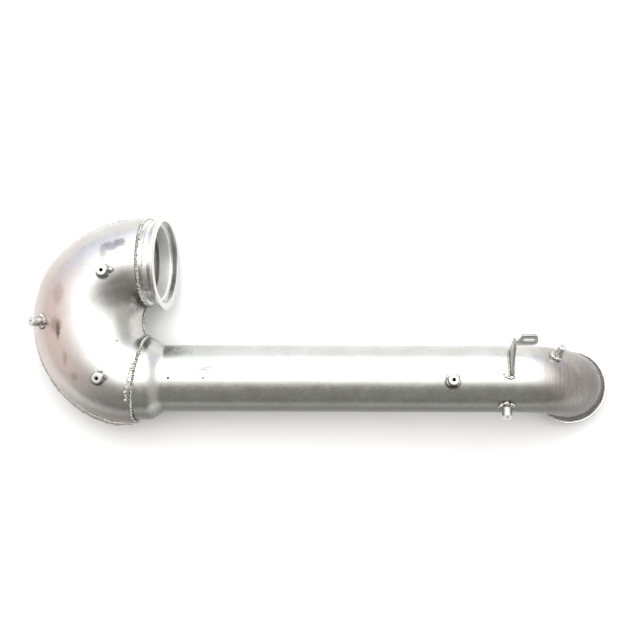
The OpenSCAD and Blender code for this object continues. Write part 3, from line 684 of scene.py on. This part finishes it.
# Each boss: its seat and the way out, then its lumps as angle round it, distance and size
seats = {
    "by_inlet": (bend_point(*BOSS_BY_INLET), bend_normal(*BOSS_BY_INLET),
                 ((5, 9.5, 5.4), (50, 8.5, 3.6), (185, 8, 2.8))),
    "on_back": (bend_point(*BOSS_ON_BACK), bend_normal(*BOSS_ON_BACK),
                ((75, 9, 5.4), (-80, 9, 5.2), (10, 9, 5.0))),
    "by_bell": (bend_point(*BOSS_BY_BELL), bend_normal(*BOSS_BY_BELL),
                ((-8, 10, 3.6), (80, 8.5, 3.0), (200, 8, 2.6))),
    "on_crown": (*on_tube(*BOSS_ON_CROWN), ((165, 9.5, 4.2), (215, 9.5, 4.2), (35, 9, 4.0), (-35, 9, 3.6))),
    "on_side": (*on_tube(*BOSS_ON_SIDE), ((150, 10, 4.8), (90, 9.5, 4.4), (30, 10, 4.6))),
    "on_elbow": (*on_elbow(*BOSS_ON_ELBOW), ((215, 11, 5.6), (265, 10, 4.2), (160, 8.5, 3.2))),
}
outline = rounded([(HOLE_MOUTH_R, BOSS_TALL), (BOSS_R, BOSS_TALL), (BOSS_R, BOSS_BASE), (0, BOSS_BASE)],
                  [0.2, 0.7, 0.2, 0])
outline = outline[outline[:, 0] > 0.01]
levels = BOSS_TALL - np.linspace(0, HOLE_DEEP, HOLE_LEVELS)
turns = np.linspace(0, 2 * math.pi, BOSS_SIDES, endpoint=False)
points = [[(r * math.cos(t), r * math.sin(t), h) for t in turns] for r, h in outline[::-1]]
for h in levels:
    points.append([(thread_radius(h, t) * math.cos(t), thread_radius(h, t) * math.sin(t), h) for t in turns])
local = np.array(points).reshape(-1, 3)
faces = quads(len(points), BOSS_SIDES, False, True)
faces.append(tuple(range(BOSS_SIDES))[::-1])
faces.append(tuple((len(points) - 1) * BOSS_SIDES + k for k in range(BOSS_SIDES)))
depths = [0.0] * len(outline) + [min(1, max(0, (BOSS_TALL - DARK_FROM - h) / DARK_OVER)) for h in levels]
inside = np.repeat(depths, BOSS_SIDES)
for index, (name, (seat, out, lumps)) in enumerate(seats.items()):
    axis = Vector(out).normalized()
    across = axis.orthogonal().normalized()
    other = axis.cross(across)
    world = np.array(seat) + local @ np.array([across, other, axis])
    mesh_piece("boss_" + name + "_turned", world, faces, boss_steel, "boss_" + name, 50, inside)
    axis = np.array(axis)
    ahead = np.array([1.0, 0, 0]) - axis * axis[0]
    ahead /= np.linalg.norm(ahead)
    beside = np.cross(axis, ahead)
    rows = []
    for angle, far, size in lumps:
        for k in (-1, 0, 1):
            a = math.radians(angle + k * LUMP_TURN)
            to = math.cos(a) * ahead + math.sin(a) * beside
            grow = size * (1.0 if k == 0 else 0.72)
            place = np.array(seat) + to * (far + chance.normal(0, 0.3)) + axis * 0.2 * grow
            rows.append((place, axis + 0.5 * to, np.cross(axis, to), (grow * 0.8, grow * 0.75, grow * 0.8)))
    for k in range(COLLAR_DROPS):
        to, along = around(k, COLLAR_DROPS, ahead, beside)
        place = np.array(seat) + to * COLLAR_R - axis * 0.2
        rows.append((place, axis + to, along, (1.4, 1.2, 1.1)))
    weld("weld_" + name + "_lumps", rows, "weld_" + name, 20 + index, 0.2, 0.9)

# The bracket: sheet steel cut to a gusset, with a tab folded over at its top and slotted for
# a bolt, and welded across the tube on both sides of its foot.
BRACKET_X, BRACKET_T = 568, 4
FOOT_FROM, FOOT_SPAN, FOOT_DROPS = 7, 53, 26

# Cut sheet, never polished: greyer and duller than the tube, with softened edges.
bracket_steel = steel("bracket_steel", "B6B5B0", "A4A39E", 0.42, (1, 1, 1), 0.03).material
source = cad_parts["bracket"]
mesh = source.data.copy()
made = bpy.data.objects.new("bracket_folded", mesh)
mesh.materials.clear()
mesh.materials.append(bracket_steel)
bpy.context.scene.collection.objects.link(made)
made.matrix_world = source.matrix_world
fuse = made.modifiers.new("fuse", "WELD")
fuse.merge_threshold = 0.01 * MM
ease_edges = made.modifiers.new("edges", "BEVEL")
ease_edges.width, ease_edges.segments = 0.5 * MM, 2
ease_edges.limit_method, ease_edges.angle_limit = "ANGLE", math.radians(40)
baked = bpy.data.meshes.new_from_object(made.evaluated_get(bpy.context.evaluated_depsgraph_get()))
made.modifiers.clear()
made.data = baked
baked.shade_smooth()
baked.set_sharp_from_angle(angle=math.radians(30))
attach(made, "root")
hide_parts("bracket")

rows = []
for face, side in ((BRACKET_X, -1), (BRACKET_X + BRACKET_T, 1)):
    for k in range(FOOT_DROPS):
        angle = FOOT_FROM + FOOT_SPAN * (k + 0.5) / FOOT_DROPS
        place, out = on_tube(face + side * 1.6, -angle)
        rows.append((place + out * 0.8, out + np.array([0.8 * side, 0, 0]), np.cross([1, 0, 0], out),
                     (1.9, 1.9, 1.9)))
# The lump at the end of the weld: place along the tube, angle, size
for dx, angle, size in ((-3, 5, 3.2), (-7, 7, 2.8), (-10, 11, 2.0), (1, 3, 3.0), (5, 5, 2.4)):
    place, out = on_tube(BRACKET_X + dx, -angle)
    rows.append((place + out * 0.4, out, (1, 0, 0), (size, size * 0.8, size * 0.7)))
weld("bracket_weld_bead", rows, "bracket_weld", 40)

# The floor: a plain pale sweep of matt paper, flat under the part and a little darker far away,
# as painted shade where the lamps' light would fall off.
FLOOR_REACH, FLOOR_BELOW, PALE_TO, DARK_BY = 15, 0.0002, 0.75, 4.0
paper = bpy.data.materials.new("paper")
paper.use_nodes = True
tree = paper.node_tree
tree.nodes.clear()
place = add(tree, "ShaderNodeTexCoord").outputs["Object"]
from_middle = add(tree, "ShaderNodeVectorMath", {0: place}, operation="LENGTH")
far = add(tree, "ShaderNodeMapRange", {0: from_middle, 1: PALE_TO, 2: DARK_BY},
          interpolation_type="SMOOTHSTEP")
pale = stained(tree, linear("E8E8E7"), linear("C6C6C5"), far)
shader = add(tree, "ShaderNodeBsdfPrincipled", {
    "Base Color": pale, "Roughness": 1.0, "Specular IOR Level": 0.0})
add(tree, "ShaderNodeOutputMaterial", {"Surface": shader})
mesh = bpy.data.meshes.new("floor")
corners = [(x * FLOOR_REACH, y * FLOOR_REACH, -FLOOR_BELOW) for x, y in ((-1, -1), (1, -1), (1, 1), (-1, 1))]
mesh.from_pydata(corners, [], [(0, 1, 2, 3)])
mesh.materials.append(paper)
floor = bpy.data.objects.new("floor", mesh)
bpy.context.scene.collection.objects.link(floor)

# The light: a soft room, dim towards the viewer's side (-Y), warm at the back of the bend,
# cool across (+Y) and bright overhead, with a soft box across and a large panel above.
DIM_SIDE, WARM_WALL, PLAIN_WALL = (0.31, 0.31, 0.29, 1), (1.3, 1.13, 1.07, 1), (0.78, 0.77, 0.73, 1)
COOL_WALL, CEILING = (1.25, 1.32, 1.6, 1), (2.35, 2.35, 2.35, 1)
world = bpy.data.worlds.new("studio")
bpy.context.scene.world = world
world.use_nodes = True
tree = world.node_tree
tree.nodes.clear()
towards = add(tree, "ShaderNodeTexCoord").outputs["Generated"]


def lobe(direction, low, high):
    """Mask of how far a direction of the room turns towards the one given."""
    unit = tuple(Vector(direction).normalized())
    facing = add(tree, "ShaderNodeVectorMath", {0: towards, 1: unit}, operation="DOT_PRODUCT")
    return add(tree, "ShaderNodeMapRange", {0: facing, 1: low, 2: high}, interpolation_type="SMOOTHSTEP")


room = stained(tree, DIM_SIDE, WARM_WALL, lobe((-1, 0.3, 0.3), 0.25, 0.95))
room = stained(tree, room, PLAIN_WALL, lobe((1, 0.15, 0.1), 0.35, 0.9))
room = stained(tree, room, COOL_WALL, lobe((-0.1, 1, 0.15), 0.25, 0.85))
overhead = add(tree, "ShaderNodeMath", {
    0: lobe((0, 0.966, 0.259), -0.21, 0.34), 1: lobe((-0.574, 0, 0.819), -0.17, 0.17)}, operation="MULTIPLY")
overhead = add(tree, "ShaderNodeMath", {
    0: overhead, 1: lobe((0.8, 0, 0.6), -0.44, 0.29)}, operation="MULTIPLY")
room = stained(tree, room, CEILING, overhead)
back = add(tree, "ShaderNodeBackground", {"Color": room, "Strength": 1.0})
add(tree, "ShaderNodeOutputWorld", {"Surface": back})

# Each lamp: name, width, depth, watts, place and tilt about X in degrees
for name, wide, deep, watts, place, lean in (
        ("soft_box", 2.2, 0.8, 4, (0, 1.05, 1.15), -25),
        ("ceiling_panel", 3.0, 2.0, 36, (0, 1.0, 3.0), 0)):
    lamp = bpy.data.lights.new(name, "AREA")
    lamp.shape, lamp.size, lamp.size_y, lamp.energy = "RECTANGLE", wide, deep, watts
    made = bpy.data.objects.new(name, lamp)
    made.location = place
    made.rotation_euler = (math.radians(lean), 0, 0)
    bpy.context.scene.collection.objects.link(made)

# The camera looks straight down, as in the photograph, from about two metres, with a lens
# that fits the part's length in the frame as there.
lens = bpy.data.cameras.new("camera")
lens.lens, lens.sensor_width = 73.69, 36
lens.clip_start, lens.clip_end = 0.05, 20
camera = bpy.data.objects.new("camera", lens)
camera.location = (-0.00375, 0.00106, 2.085)
bpy.context.scene.collection.objects.link(camera)
bpy.context.scene.camera = camera
bpy.context.scene.view_settings.view_transform = "Standard"
